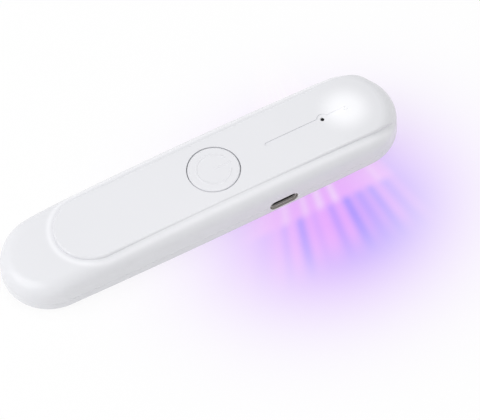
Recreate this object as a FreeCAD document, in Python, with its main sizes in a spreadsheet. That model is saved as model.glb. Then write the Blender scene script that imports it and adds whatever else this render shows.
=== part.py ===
import FreeCAD, Part
import math
import os
from types import SimpleNamespace

import Sketcher
from FreeCAD import Vector

# Handheld ultraviolet steriliser wand.
# Millimetres, +Z up, origin under the middle of the flat underside.
# +X points to the lamp head, -X to the handle end, and the charging port is on the -Y side.

document = FreeCAD.newDocument("uv_steriliser_wand")
sheet = document.addObject("Spreadsheet::Sheet", "Sizes")

DRIVING_SIZES = [
    # Outer form
    ("body_length", 130.0),
    ("body_width", 30.4),
    ("body_height", 12.9),
    ("side_bow", 0.5),
    ("crown_radius", 2050.0),
    ("tail_dome_length", 25.0),
    ("tail_dome_radius", 110.0),
    ("head_dome_length", 20.0),
    ("head_dome_radius", 250.0),
    ("shoulder_radius", 5.1),
    ("belly_radius", 2.1),
    ("parting_height", 4.0),
    ("parting_bevel", 0.2),
    ("wall", 1.6),
    ("floor_thickness", 1.4),
    # Joint between the two shells
    ("lip_thickness", 0.75),
    ("lip_height", 0.9),
    ("lip_clearance", 0.1),
    # Raised panel on top
    ("panel_side_margin", 3.7),
    ("panel_tail_margin", 17.7),
    ("panel_step", 0.2),
    ("panel_depth", 3.0),
    ("panel_core", 7.0),
    ("panel_nose_length", 13.0),
    ("panel_nose_radius", 20.0),
    ("panel_head_inset", 1.05),
    ("panel_head_roll", 4.2),
    ("panel_head_margin", 0.9),
    ("panel_dome_length", 21.0),
    ("panel_dome_radius", 120.0),
    ("panel_edge_round", 0.8),
    # Status strip, pinhole and lamp in the panel
    ("strip_length", 28.05),
    ("strip_width", 1.5),
    ("strip_depth", 0.25),
    ("strip_eye_radius", 1.8),
    ("pinhole_setback", 7.9),
    ("pinhole_diameter", 1.1),
    ("pinhole_bevel", 0.2),
    ("pinhole_rod_setback", 0.1),
    ("lamp_setback", 15.3),
    ("lamp_diameter", 1.2),
    ("lamp_clearance", 0.05),
    ("lamp_collar_diameter", 2.6),
    ("lamp_collar_thickness", 0.6),
    ("lamp_collar_gap", 0.35),
    # Power button
    ("button_board_setback", 4.65),
    ("button_hole_diameter", 16.3),
    ("button_gap", 0.22),
    ("button_rim_round", 0.15),
    ("button_edge_round", 0.45),
    ("button_roof", 1.3),
    ("button_skirt", 1.2),
    ("button_travel", 0.3),
    ("button_flange_width", 0.9),
    ("button_flange_thickness", 0.7),
    ("button_flange_gap", 0.1),
    ("button_post_diameter", 4.4),
    # Tact switch on the main board
    ("switch_side", 6.0),
    ("switch_base_height", 1.7),
    ("switch_cover_thickness", 0.25),
    ("switch_well_diameter", 4.2),
    ("switch_well_depth", 1.1),
    ("switch_cover_hole", 3.6),
    ("switch_plunger_diameter", 3.2),
    ("switch_plunger_foot", 3.9),
    ("switch_foot_thickness", 0.35),
    ("switch_dome_thickness", 0.12),
    ("switch_gap", 0.05),
    # Charging port and receptacle
    ("port_button_distance", 15.35),
    ("port_length", 9.35),
    ("port_height", 3.45),
    ("receptacle_width", 8.94),
    ("receptacle_height", 3.26),
    ("receptacle_sheet", 0.3),
    ("receptacle_length", 6.9),
    ("receptacle_setback", 0.75),
    ("receptacle_back", 0.8),
    ("tongue_width", 6.7),
    ("tongue_thickness", 0.7),
    ("tongue_setback", 1.1),
    ("contact_count", 12),
    ("contact_row_width", 5.5),
    ("contact_setback", 1.0),
    ("contact_width", 0.26),
    ("contact_thickness", 0.06),
    # Main board
    ("board_tail_gap", 5.65),
    ("board_head_gap", 0.6),
    ("board_side_margin", 4.2),
    ("board_thickness", 1.0),
    ("board_corner", 3.0),
    ("board_post_diameter", 4.4),
    ("board_post_gap", 0.5),
    ("board_post_margin", 2.6),
    ("board_post_distance", 21.0),
    ("control_chip_setback", 25.7),
    ("control_chip_side", 7.0),
    ("control_chip_height", 1.0),
    ("charge_chip_setback", 16.7),
    ("charge_chip_side", 4.0),
    ("charge_chip_height", 0.85),
    ("capacitor_count", 6),
    ("capacitor_gap", 6.3),
    ("capacitor_row_length", 16.0),
    ("capacitor_margin", 4.0),
    ("capacitor_length", 1.6),
    ("capacitor_width", 0.8),
    ("capacitor_height", 0.8),
    ("board_led_length", 1.6),
    ("board_led_width", 0.8),
    ("board_led_height", 0.6),
    ("header_setback", 4.3),
    ("header_length", 2.5),
    ("header_pin_count", 5),
    ("header_row_width", 5.08),
    ("header_end_margin", 0.64),
    ("header_pin_side", 0.6),
    ("header_pin_clearance", 0.02),
    ("foam_count", 3),
    ("foam_end_margin", 8.8),
    ("foam_side", 5.0),
    # Ultraviolet source
    ("window_length", 47.6),
    ("window_side_gap", 0.6),
    ("window_head_gap", 0.45),
    ("window_thickness", 1.0),
    ("window_corner", 2.5),
    ("window_ledge", 1.0),
    ("window_ledge_thickness", 0.8),
    ("window_clearance", 0.15),
    ("seal_thickness", 0.2),
    ("frame_rib", 1.0),
    ("reflector_height", 0.95),
    ("reflector_hole", 4.1),
    ("reflector_flare", 24.0),
    ("led_count", 7),
    ("led_end_margin", 4.6),
    ("led_side", 3.5),
    ("led_base_height", 0.4),
    ("led_lens_diameter", 2.8),
    ("led_lens_height", 0.35),
    ("led_board_thickness", 1.0),
    # Battery
    ("battery_end_gap", 0.5),
    ("battery_side_margin", 4.9),
    ("battery_height", 6.4),
    ("battery_corner", 2.2),
    ("battery_round", 1.0),
    ("battery_pad_thickness", 0.3),
    ("battery_rib_margin", 7.2),
    ("battery_rib_thickness", 1.0),
    ("battery_rib_height", 2.6),
    ("battery_rib_gap", 0.3),
    ("guard_board_margin", 3.8),
    ("guard_board_height", 4.4),
    ("guard_board_thickness", 0.8),
    ("lead_diameter", 1.2),
    ("lead_pair_width", 6.0),
    ("lead_bend", 1.4),
    ("lead_height", 3.6),
    ("lead_frame_gap", 3.65),
    # Fasteners
    ("boss_diameter", 5.0),
    ("sleeve_diameter", 6.6),
    ("boss_side_margin", 4.7),
    ("boss_frame_gap", 10.25),
    ("boss_tail_setback", 6.8),
    ("boss_head_setback", 5.3),
    ("screw_diameter", 1.9),
    ("screw_clearance", 0.05),
    ("screw_length", 5.4),
    ("screw_hole_room", 0.9),
    ("screw_head_diameter", 3.4),
    ("screw_head_height", 1.1),
    ("screw_recess_depth", 1.7),
    ("screw_recess_clearance", 0.3),
    ("screw_drive_width", 1.7),
    ("screw_drive_slot", 0.45),
    ("screw_drive_depth", 0.5),
    ("board_screw_diameter", 1.5),
    ("board_screw_length", 3.0),
    ("board_screw_head_diameter", 2.8),
    ("board_screw_head_height", 0.8),
]


class Size:
    # A length that carries its spreadsheet formula beside its number.
    def __init__(self, formula, number):
        self.formula = formula
        self.number = number

    def __add__(self, other):
        other = as_size(other)
        return Size(f"({self.formula} + {other.formula})", self.number + other.number)

    def __sub__(self, other):
        other = as_size(other)
        return Size(f"({self.formula} - {other.formula})", self.number - other.number)

    def __mul__(self, other):
        other = as_size(other)
        return Size(f"({self.formula} * {other.formula})", self.number * other.number)

    def __truediv__(self, other):
        other = as_size(other)
        return Size(f"({self.formula} / {other.formula})", self.number / other.number)

    def __neg__(self):
        return Size(f"(0 - {self.formula})", -self.number)


def as_size(item):
    if isinstance(item, Size):
        return item
    return Size(repr(float(item)), float(item))


def fill_sheet():
    for row, (alias, number) in enumerate(DRIVING_SIZES, start=1):
        sheet.set(f"A{row}", alias)
        sheet.set(f"B{row}", str(number))
        sheet.setAlias(f"B{row}", alias)
    document.recompute()
    return SimpleNamespace(
        **{alias: Size(f"Sizes.{alias}", float(sheet.get(alias))) for alias, _ in DRIVING_SIZES}
    )


dim = fill_sheet()
ZERO = as_size(0)

# Lengths that several pieces share, worked out once.
half_length = dim.body_length / 2
half_width = dim.body_width / 2
end_radius = half_width - dim.side_bow
end_centre = half_length - end_radius
base_top = dim.body_height - dim.panel_step
ceiling = base_top - dim.wall
tail_dome_start = half_length - dim.tail_dome_length
head_dome_start = half_length - dim.head_dome_length
panel_half = half_width - dim.panel_side_margin
panel_nose_start = half_length - dim.panel_nose_length
panel_nose_offset = dim.panel_nose_radius - panel_half
panel_tail_centre = half_length - dim.panel_tail_margin - panel_half
panel_root = dim.body_height - dim.panel_depth
panel_core_low = dim.body_height - dim.panel_core
panel_cap_half = panel_half + dim.panel_head_roll + dim.panel_head_margin
panel_dome_start = half_length - dim.panel_dome_length
lamp_position = half_length - dim.lamp_setback
pinhole_position = lamp_position - dim.pinhole_setback
strip_floor = dim.body_height - dim.strip_depth

# Heights of the stacked boards, switch and button.
board_low = dim.parting_height + dim.receptacle_height / 2
board_high = board_low + dim.board_thickness
switch_top = board_high + dim.switch_base_height + dim.switch_cover_thickness
plunger_top = switch_top + dim.button_travel * 2
flange_high = ceiling - dim.button_flange_gap
flange_low = flange_high - dim.button_flange_thickness
button_radius = dim.button_hole_diameter / 2 - dim.button_gap
flange_radius = dim.button_hole_diameter / 2 + dim.button_flange_width

# Receptacle, measured inwards from the near side.
receptacle_front = half_width - dim.receptacle_setback
receptacle_rear = receptacle_front - dim.receptacle_length

# The window frame sits between the head screw and the receptacle.
sleeve_radius = dim.sleeve_diameter / 2
boss_radius = dim.boss_diameter / 2
boss_head = half_length - dim.boss_head_setback
frame_edge = dim.window_clearance + dim.frame_rib
frame_length = dim.window_length + frame_edge * 2
frame_width = (receptacle_rear - dim.window_side_gap) * 2
frame_corner = dim.window_corner + frame_edge
frame_head = boss_head - sleeve_radius - dim.window_head_gap
frame_tail = frame_head - frame_length
window_centre = (frame_head + frame_tail) / 2
window_width = frame_width - frame_edge * 2
mouth_length = dim.window_length - dim.window_ledge * 2
mouth_width = window_width - dim.window_ledge * 2
mouth_corner = dim.window_corner - dim.window_ledge
seal_low = dim.window_ledge_thickness
window_low = seal_low + dim.seal_thickness
window_high = window_low + dim.window_thickness
led_board_low = window_high + dim.reflector_height
led_board_high = led_board_low + dim.led_board_thickness
led_pitch = (dim.window_length - dim.led_end_margin * 2) / (dim.led_count - 1)
first_led = window_centre - dim.window_length / 2 + dim.led_end_margin

# The battery lies between the side screws and the tail screw.
boss_side = frame_tail - dim.boss_frame_gap
boss_tail = dim.boss_tail_setback - half_length
battery_head = boss_side - sleeve_radius - dim.battery_end_gap
battery_tail = boss_tail + sleeve_radius + dim.battery_end_gap
battery_length = battery_head - battery_tail
battery_middle = (battery_head + battery_tail) / 2
battery_width = dim.body_width - dim.battery_side_margin * 2
battery_low = dim.floor_thickness + dim.battery_pad_thickness

# The main board reaches from the side screws to the head screw.
board_tail = frame_tail - dim.board_tail_gap
board_head = boss_head - boss_radius - dim.board_head_gap
board_width = dim.body_width - dim.board_side_margin * 2
button_position = board_tail + dim.button_board_setback
port_position = button_position + dim.port_button_distance
board_post_offset = board_width / 2 - dim.board_post_margin
board_post_tail = button_position + flange_radius + dim.board_post_diameter / 2 + dim.board_post_gap

screw_seat = dim.screw_recess_depth
boss_offset = half_width - dim.boss_side_margin
case_screw_places = [
    (boss_side, boss_offset),
    (boss_side, -boss_offset),
    (boss_tail, ZERO),
    (boss_head, ZERO),
]
board_screw_places = [
    (board_post_tail, board_post_offset),
    (board_post_tail + dim.board_post_distance, -board_post_offset),
]
EDGE_TOLERANCE = 1e-3
nodes = {}


def bind(item, name, size):
    item.setExpression(name, as_size(size).formula)


def new_body(name):
    body = document.addObject("PartDesign::Body", name)
    body.Label = name
    return body


def keep(name, item):
    item.Label = name
    nodes[name] = item
    return item


def new_sketch(body, name, plane="XY_Plane", height=ZERO):
    sketch = body.newObject("Sketcher::SketchObject", name)
    support = [item for item in body.Origin.OriginFeatures if item.Role == plane][0]
    sketch.AttachmentSupport = [(support, "")]
    sketch.MapMode = "FlatFace"
    bind(sketch, "AttachmentOffset.Base.z", height)
    return sketch


def dimension(sketch, kind, *where, size):
    index = sketch.addConstraint(Sketcher.Constraint(kind, *where, size.number))
    bind(sketch, f"Constraints[{index}]", size)


def place(sketch, item, point, x, y):
    dimension(sketch, "DistanceX", -1, 1, item, point, size=as_size(x))
    dimension(sketch, "DistanceY", -1, 1, item, point, size=as_size(y))


def join(sketch, kind, first, first_point, second, second_point):
    sketch.addConstraint(Sketcher.Constraint(kind, first, first_point, second, second_point))


def point(x, y):
    return Vector(as_size(x).number, as_size(y).number, 0)


def add_arc(sketch, x, y, radius, start, stop):
    circle = Part.Circle(point(x, y), Vector(0, 0, 1), radius.number)
    return sketch.addGeometry(Part.ArcOfCircle(circle, start, stop))


def add_line(sketch, start, stop):
    return sketch.addGeometry(Part.LineSegment(point(*start), point(*stop)))


def add_circle(sketch, x, y, radius):
    index = sketch.addGeometry(Part.Circle(point(x, y), Vector(0, 0, 1), radius.number))
    place(sketch, index, 3, x, y)
    dimension(sketch, "Radius", index, size=radius)


def add_polygon(sketch, corners):
    first = sketch.GeometryCount
    for start, stop in zip(corners, corners[1:] + corners[:1]):
        add_line(sketch, start, stop)
    for index, (x, y) in enumerate(corners):
        join(sketch, "Coincident", first + index, 1, first + (index - 1) % len(corners), 2)
        place(sketch, first + index, 1, x, y)


def add_rectangle(sketch, x, y, length, width):
    low_x, high_x = x - length / 2, x + length / 2
    low_y, high_y = y - width / 2, y + width / 2
    add_polygon(sketch, [(low_x, low_y), (high_x, low_y), (high_x, high_y), (low_x, high_y)])


def add_rounded_rectangle(sketch, x, y, length, width, corner):
    # Four corner arcs joined by tangent sides.
    inner_x, inner_y = length / 2 - corner, width / 2 - corner
    quarter = math.pi / 2
    centres = [
        (x + inner_x, y + inner_y),
        (x - inner_x, y + inner_y),
        (x - inner_x, y - inner_y),
        (x + inner_x, y - inner_y),
    ]
    first = sketch.GeometryCount
    for turn, (centre_x, centre_y) in enumerate(centres):
        add_arc(sketch, centre_x, centre_y, corner, turn * quarter, (turn + 1) * quarter)
    starts = [(0, corner), (-corner, ZERO), (ZERO, -corner), (corner, ZERO)]
    for turn in range(4):
        offset_x, offset_y = starts[turn]
        next_x, next_y = centres[(turn + 1) % 4]
        this_x, this_y = centres[turn]
        add_line(
            sketch,
            (this_x + offset_x, this_y + offset_y),
            (next_x + offset_x, next_y + offset_y),
        )
    for turn, (centre_x, centre_y) in enumerate(centres):
        place(sketch, first + turn, 3, centre_x, centre_y)
        dimension(sketch, "Radius", first + turn, size=corner)
        join(sketch, "Tangent", first + turn, 2, first + 4 + turn, 1)
        join(sketch, "Tangent", first + 4 + turn, 2, first + (turn + 1) % 4, 1)


def add_slot(sketch, x, y, length, width):
    # Two half-round ends joined by tangent sides.
    radius = width / 2
    reach = length / 2 - radius
    right = add_arc(sketch, x + reach, y, radius, -math.pi / 2, math.pi / 2)
    left = add_arc(sketch, x - reach, y, radius, math.pi / 2, 3 * math.pi / 2)
    top = add_line(sketch, (x + reach, y + radius), (x - reach, y + radius))
    low = add_line(sketch, (x - reach, y - radius), (x + reach, y - radius))
    join(sketch, "Tangent", right, 2, top, 1)
    join(sketch, "Tangent", top, 2, left, 1)
    join(sketch, "Tangent", left, 2, low, 1)
    join(sketch, "Tangent", low, 2, right, 1)
    place(sketch, right, 3, x + reach, y)
    place(sketch, left, 3, x - reach, y)
    dimension(sketch, "Radius", right, size=radius)
    sketch.addConstraint(Sketcher.Constraint("Equal", right, left))


def add_outline(sketch, inset):
    # Plan of the wand: round ends and long, slightly bowed sides, all tangent.
    radius = end_radius - inset
    side = (end_centre * end_centre - dim.side_bow * dim.side_bow) / (dim.side_bow * 2) + half_width - inset
    lift = side - (half_width - inset)
    turn = math.atan2(lift.number, end_centre.number)
    head = add_arc(sketch, end_centre, ZERO, radius, -turn, turn)
    far = add_arc(sketch, ZERO, -lift, side, turn, math.pi - turn)
    tail = add_arc(sketch, -end_centre, ZERO, radius, math.pi - turn, math.pi + turn)
    near = add_arc(sketch, ZERO, lift, side, math.pi + turn, 2 * math.pi - turn)
    ring = [head, far, tail, near]
    for first, second in zip(ring, ring[1:] + ring[:1]):
        join(sketch, "Tangent", first, 2, second, 1)
    for end, sign in ((head, 1), (tail, -1)):
        place(sketch, end, 3, end_centre * sign, ZERO)
        dimension(sketch, "Radius", end, size=radius)
    for long_side in (far, near):
        dimension(sketch, "Radius", long_side, size=side)


def pad(body, sketch, length, name, symmetric=False, downward=False):
    feature = body.newObject("PartDesign::Pad", name)
    feature.Profile = sketch
    feature.SideType = "Symmetric" if symmetric else "One side"
    feature.Reversed = downward
    bind(feature, "Length", length)
    document.recompute()
    return feature


def pocket(body, sketch, depth, name, upward=False, symmetric=False):
    before = body.Shape.Volume
    feature = body.newObject("PartDesign::Pocket", name)
    feature.Profile = sketch
    feature.SideType = "Symmetric" if symmetric else "One side"
    feature.Reversed = upward
    bind(feature, "Length", depth)
    document.recompute()
    if body.Shape.Volume >= before:
        raise RuntimeError(f"{name} removes nothing from {body.Label}")
    return feature


def revolve(body, sketch, name):
    feature = body.newObject("PartDesign::Revolution", name)
    feature.Profile = sketch
    feature.ReferenceAxis = (sketch, ["V_Axis"])
    feature.Angle = 360
    document.recompute()
    return feature


def round_edges(body, radius, name, chosen):
    base = body.Tip
    names = [f"Edge{number}" for number, edge in enumerate(base.Shape.Edges, start=1) if chosen(edge)]
    feature = body.newObject("PartDesign::Fillet", name)
    feature.Base = (base, names)
    bind(feature, "Radius", radius)
    document.recompute()
    return feature


def repeat(body, feature, axis, count, pitch, name):
    pattern = body.newObject("PartDesign::LinearPattern", name)
    pattern.Originals = [feature]
    pattern.Direction = ([item for item in body.Origin.OriginFeatures if item.Role == axis][0], [""])
    bind(pattern, "Length", pitch * (count - 1))
    bind(pattern, "Occurrences", count)
    body.Tip = pattern
    document.recompute()
    return pattern


def combine(kind, name, first, second):
    item = document.addObject(f"Part::{kind}", name)
    item.Base = first
    item.Tool = second
    item.Refine = True
    document.recompute()
    return item


def solid_on(name, feature_source):
    # A new body that goes on from a finished solid.
    body = new_body(name)
    body.BaseFeature = feature_source
    document.recompute()
    return body


def at_height(edge, height):
    box = edge.BoundBox
    return max(abs(box.ZMin - height.number), abs(box.ZMax - height.number)) < EDGE_TOLERANCE


def dome_arc(start, dome, inset, side):
    # Centre and radius of the tighter curve that carries the crown on at one end of the wand.
    sine = start / dim.crown_radius
    gap = dim.crown_radius - dome
    centre_x = gap * sine * side
    lean = math.asin(sine.number)
    centre_height = base_top.number - dim.crown_radius.number + gap.number * math.cos(lean)
    return centre_x, centre_height, dome - inset, lean


def crown_section(sketch, inset):
    # Everything above the lengthwise curve of the top: a long crown that dips faster at both ends.
    crown = dim.crown_radius - inset
    crown_height = base_top - dim.crown_radius
    head_x, head_height, head_radius, head_lean = dome_arc(head_dome_start, dim.head_dome_radius, inset, 1)
    tail_x, tail_height, tail_radius, tail_lean = dome_arc(tail_dome_start, dim.tail_dome_radius, inset, -1)
    reach = half_length + dim.wall
    roof = dim.body_height + dim.wall
    right = math.acos((reach.number - head_x.number) / head_radius.number)
    left = math.acos((-reach.number - tail_x.number) / tail_radius.number)
    front = add_arc(sketch, head_x, head_height, head_radius, right, math.pi / 2 - head_lean)
    upper = add_arc(sketch, ZERO, crown_height, crown, math.pi / 2 - head_lean, math.pi / 2 + tail_lean)
    rear = add_arc(sketch, tail_x, tail_height, tail_radius, math.pi / 2 + tail_lean, left)
    head_end = sketch.getPoint(front, 1)
    tail_end = sketch.getPoint(rear, 2)
    down = add_line(sketch, (tail_end.x, tail_end.y), (-reach, roof))
    over = add_line(sketch, (-reach, roof), (reach, roof))
    back = add_line(sketch, (reach, roof), (head_end.x, head_end.y))
    join(sketch, "Tangent", front, 2, upper, 1)
    join(sketch, "Tangent", upper, 2, rear, 1)
    join(sketch, "Coincident", rear, 2, down, 1)
    join(sketch, "Coincident", down, 2, over, 1)
    join(sketch, "Coincident", over, 2, back, 1)
    join(sketch, "Coincident", back, 2, front, 1)
    place(sketch, upper, 3, ZERO, crown_height)
    dimension(sketch, "Radius", upper, size=crown)
    for end, centre_x, radius in ((front, head_x, head_radius), (rear, tail_x, tail_radius)):
        dimension(sketch, "DistanceX", -1, 1, end, 3, size=centre_x)
        dimension(sketch, "Radius", end, size=radius)
    place(sketch, over, 1, -reach, roof)
    place(sketch, over, 2, reach, roof)
    sketch.addConstraint(Sketcher.Constraint("Vertical", down))
    sketch.addConstraint(Sketcher.Constraint("Vertical", back))


def upper_form(name, inset):
    # The rounded upper half of the wand, or the hollow inside it when inset by the wall.
    body = new_body(name)
    plan = new_sketch(body, f"{name}_plan", height=dim.parting_height)
    add_outline(plan, inset)
    pad(body, plan, dim.body_height - dim.parting_height, f"{name}_block")
    section = new_sketch(body, f"{name}_section", plane="XZ_Plane")
    crown_section(section, inset)
    pocket(body, section, dim.body_width * 2, f"{name}_crown", symmetric=True)
    round_edges(body, dim.shoulder_radius - inset, f"{name}_shoulder", shoulder_edge)
    return body


def shoulder_edge(edge):
    # The rim of the crown, without the lines that cross it.
    box = edge.BoundBox
    return box.ZMin > dim.parting_height.number + EDGE_TOLERANCE and box.XLength > EDGE_TOLERANCE


def raised_panel():
    # Tongue-shaped relief: straight sides drawn in at the head, a round handle end and a rolled head end.
    strip = new_body("panel_strip")
    plan = new_sketch(strip, "panel_plan", height=panel_core_low)
    radius, offset = dim.panel_nose_radius, panel_nose_offset
    lean = math.asin(dim.panel_nose_length.number / radius.number)
    tail = add_arc(plan, -panel_tail_centre, ZERO, panel_half, math.pi / 2, 3 * math.pi / 2)
    near = add_line(plan, (-panel_tail_centre, -panel_half), (panel_nose_start, -panel_half))
    near_nose = add_arc(plan, panel_nose_start, offset, radius, -math.pi / 2, lean - math.pi / 2)
    tip = plan.getPoint(near_nose, 2)
    front = add_line(plan, (tip.x, tip.y), (tip.x, -tip.y))
    far_nose = add_arc(plan, panel_nose_start, -offset, radius, math.pi / 2 - lean, math.pi / 2)
    far = add_line(plan, (panel_nose_start, panel_half), (-panel_tail_centre, panel_half))
    join(plan, "Tangent", tail, 2, near, 1)
    join(plan, "Tangent", near, 2, near_nose, 1)
    join(plan, "Coincident", near_nose, 2, front, 1)
    join(plan, "Coincident", front, 2, far_nose, 1)
    join(plan, "Tangent", far_nose, 2, far, 1)
    join(plan, "Tangent", far, 2, tail, 1)
    place(plan, tail, 3, -panel_tail_centre, ZERO)
    dimension(plan, "Radius", tail, size=panel_half)
    for nose, centre in ((near_nose, offset), (far_nose, -offset)):
        place(plan, nose, 3, panel_nose_start, centre)
        dimension(plan, "Radius", nose, size=radius)
    dimension(plan, "DistanceX", -1, 1, front, 1, size=half_length)
    plan.addConstraint(Sketcher.Constraint("Vertical", front))
    pad(strip, plan, dim.panel_core, "panel_pad")

    cap = new_body("panel_cap")
    outline = new_sketch(cap, "panel_outline", height=panel_core_low)
    cap_length = dim.body_length - dim.panel_head_inset
    add_slot(outline, -dim.panel_head_inset / 2, ZERO, cap_length, panel_cap_half * 2)
    pad(cap, outline, dim.panel_core, "panel_cap_pad")
    section = new_sketch(cap, "panel_dome_section", plane="XZ_Plane")
    panel_dome_section(section)
    pocket(cap, section, panel_cap_half * 4, "panel_dome", symmetric=True)
    round_edges(cap, dim.panel_head_roll, "panel_roll", panel_rim_edge)

    common = combine("Common", "panel_common", strip, cap)
    panel = solid_on("panel", common)
    round_edges(panel, dim.panel_edge_round, "panel_edge", panel_side_edge)
    return panel


def panel_dome_section(sketch):
    # Everything above the curve on which the panel sinks towards the head.
    radius = dim.panel_dome_radius
    centre_height = dim.body_height - radius
    reach = half_length + dim.wall
    roof = dim.body_height + dim.wall
    lean = math.asin((reach - panel_dome_start).number / radius.number)
    curve = add_arc(sketch, panel_dome_start, centre_height, radius, math.pi / 2 - lean, math.pi / 2)
    curve_end = sketch.getPoint(curve, 1)
    rise = add_line(sketch, (panel_dome_start, dim.body_height), (panel_dome_start, roof))
    over = add_line(sketch, (panel_dome_start, roof), (reach, roof))
    back = add_line(sketch, (reach, roof), (curve_end.x, curve_end.y))
    join(sketch, "Coincident", curve, 2, rise, 1)
    join(sketch, "Coincident", rise, 2, over, 1)
    join(sketch, "Coincident", over, 2, back, 1)
    join(sketch, "Coincident", back, 2, curve, 1)
    place(sketch, curve, 3, panel_dome_start, centre_height)
    dimension(sketch, "Radius", curve, size=radius)
    place(sketch, over, 1, panel_dome_start, roof)
    place(sketch, over, 2, reach, roof)
    sketch.addConstraint(Sketcher.Constraint("Vertical", rise))
    sketch.addConstraint(Sketcher.Constraint("Vertical", back))


def panel_rim_edge(edge):
    # The top rim of the cap, without the line where the dome begins.
    box = edge.BoundBox
    return box.ZMin > panel_core_low.number + EDGE_TOLERANCE and box.XLength > EDGE_TOLERANCE


def panel_side_edge(edge):
    # The outer top edge along both sides and round the handle end.
    box = edge.BoundBox
    tail_tip = panel_tail_centre.number + panel_half.number
    along_side = box.YLength < EDGE_TOLERANCE
    round_tail = abs(box.XMin + tail_tip) < EDGE_TOLERANCE
    return at_height(edge, dim.body_height) and (along_side or round_tail)


def posts(name, places, diameter, low):
    body = new_body(name)
    sketch = new_sketch(body, f"{name}_circles", height=low)
    for x, y in places:
        add_circle(sketch, x, y, diameter / 2)
    pad(body, sketch, dim.body_height - low, f"{name}_pad")
    return body


def drill(body, places, diameter, low, depth, name):
    sketch = new_sketch(body, f"{name}_circles", height=low)
    for x, y in places:
        add_circle(sketch, x, y, diameter / 2)
    return pocket(body, sketch, depth, name, upward=True)


def port_cut(body, name):
    # The rounded slot for the plug, cut through the near wall only.
    sketch = new_sketch(body, f"{name}_slot", plane="XZ_Plane", height=receptacle_rear)
    add_slot(sketch, port_position, dim.parting_height, dim.port_length, dim.port_height)
    return pocket(body, sketch, half_width + dim.wall - receptacle_rear, name, upward=True)


def make_upper_shell():
    outer = combine("Fuse", "outer_form", upper_form("outer_half", ZERO), raised_panel())
    hollow = combine("Cut", "hollow_form", outer, upper_form("inner_half", dim.wall))
    rebate = solid_on("rebated_form", hollow)
    plan = new_sketch(rebate, "rebate_plan", height=dim.parting_height)
    add_outline(plan, dim.lip_thickness)
    pocket(rebate, plan, dim.lip_height + dim.lip_clearance, "lip_rebate", upward=True)

    boss_posts = posts("boss_posts", case_screw_places, dim.boss_diameter, dim.parting_height)
    bosses = combine("Common", "bosses", boss_posts, outer)
    board_posts = posts("board_posts", board_screw_places, dim.board_post_diameter, board_high)
    standoffs = combine("Common", "board_standoffs", board_posts, outer)
    joined = combine("Fuse", "bossed_form", combine("Fuse", "boss_form", rebate, bosses), standoffs)

    shell = solid_on("upper_shell", joined)
    screw_hole = dim.screw_diameter + dim.screw_clearance * 2
    screw_depth = dim.screw_length - (dim.parting_height - screw_seat) + dim.screw_hole_room
    drill(shell, case_screw_places, screw_hole, dim.parting_height, screw_depth, "boss_holes")
    board_hole = dim.board_screw_diameter + dim.screw_clearance * 2
    drill(shell, board_screw_places, board_hole, board_high, dim.board_screw_length, "board_holes")

    opening = new_sketch(shell, "button_opening", height=panel_root)
    add_circle(opening, button_position, ZERO, dim.button_hole_diameter / 2)
    pocket(shell, opening, dim.panel_depth, "button_hole", upward=True)
    round_edges(
        shell,
        dim.button_rim_round,
        "button_hole_rim",
        lambda edge: rim_of_hole(edge, button_position, dim.button_hole_diameter, dim.body_height),
    )

    strip = new_sketch(shell, "status_strip", height=dim.body_height)
    strip_middle = lamp_position + dim.strip_width / 2 - dim.strip_length / 2
    add_slot(strip, strip_middle, ZERO, dim.strip_length, dim.strip_width)
    pocket(shell, strip, dim.strip_depth, "strip_recess")
    eye = new_sketch(shell, "pinhole_eye_circle", height=dim.body_height)
    add_circle(eye, pinhole_position, ZERO, dim.strip_eye_radius)
    pocket(shell, eye, dim.strip_depth, "pinhole_eye")
    holes = new_sketch(shell, "lamp_circles", height=dim.body_height)
    add_circle(holes, pinhole_position, ZERO, dim.pinhole_diameter / 2)
    add_circle(holes, lamp_position, ZERO, dim.lamp_diameter / 2 + dim.lamp_clearance)
    pocket(shell, holes, dim.panel_depth, "lamp_holes")
    countersink(shell, pinhole_position, dim.pinhole_diameter, strip_floor, dim.pinhole_bevel)
    port_cut(shell, "upper_port")
    return keep("upper_shell", shell)


def countersink(body, x, diameter, height, bevel):
    base = body.Tip
    edges = enumerate(base.Shape.Edges, start=1)
    rim = [f"Edge{number}" for number, edge in edges if rim_of_hole(edge, x, diameter, height)]
    feature = body.newObject("PartDesign::Chamfer", "pinhole_countersink")
    feature.Base = (base, rim)
    bind(feature, "Size", bevel)
    document.recompute()


def rim_of_hole(edge, x, diameter, height):
    box = edge.BoundBox
    centred = abs(box.Center.x - x.number) < EDGE_TOLERANCE and abs(box.Center.y) < EDGE_TOLERANCE
    return centred and at_height(edge, height) and abs(box.XLength - diameter.number) < EDGE_TOLERANCE


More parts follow.
